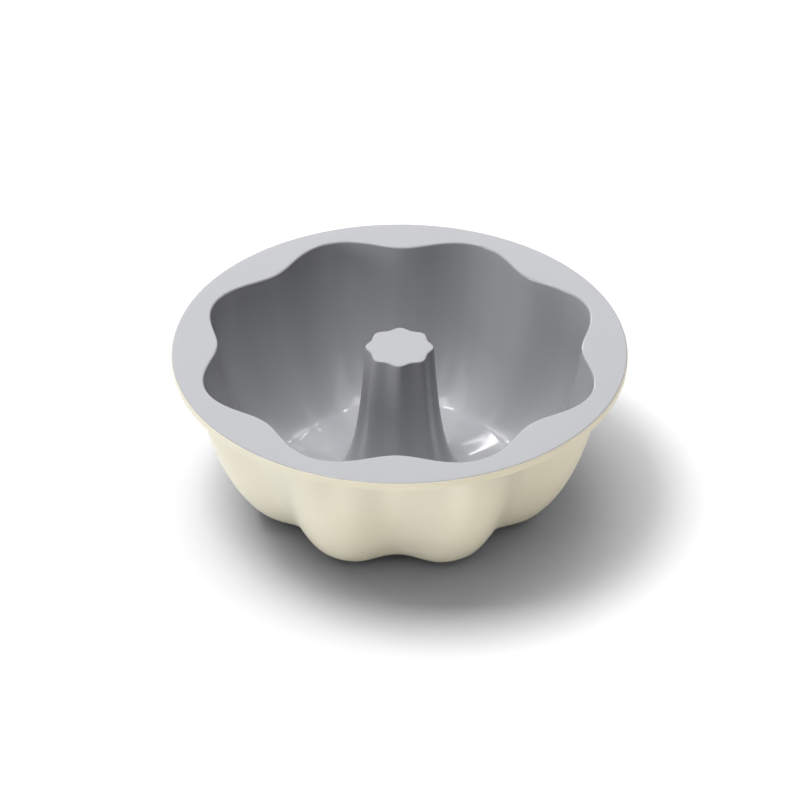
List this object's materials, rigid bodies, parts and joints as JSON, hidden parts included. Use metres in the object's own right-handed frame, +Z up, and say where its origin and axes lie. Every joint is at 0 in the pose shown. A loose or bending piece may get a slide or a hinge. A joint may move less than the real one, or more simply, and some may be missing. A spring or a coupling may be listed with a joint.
{
  "type": "fluted tube pan",
  "caption": "Round cake pan with a fluted wall and floor, a flat rim and a closed fluted tube in the middle, coated grey inside and cream outside.",
  "frame": {"origin": "on the pan's axis, in the plane of the feet that it stands on", "axes": "+Z up along the axis of the tube, -Y to the front, where a ridge of the wall faces"},
  "size_m": [0.254, 0.254, 0.096],
  "materials": {
    "cast_metal": "as cast, hidden by the coats",
    "grey_coat": "smooth satin baked coat",
    "cream_coat": "smooth satin baked coat"
  },
  "bodies": {
    "root": {"cast_body": "cast_metal", "interior_coating": "grey_coat", "exterior_coating": "cream_coat"}
  },
  "joints": []
}
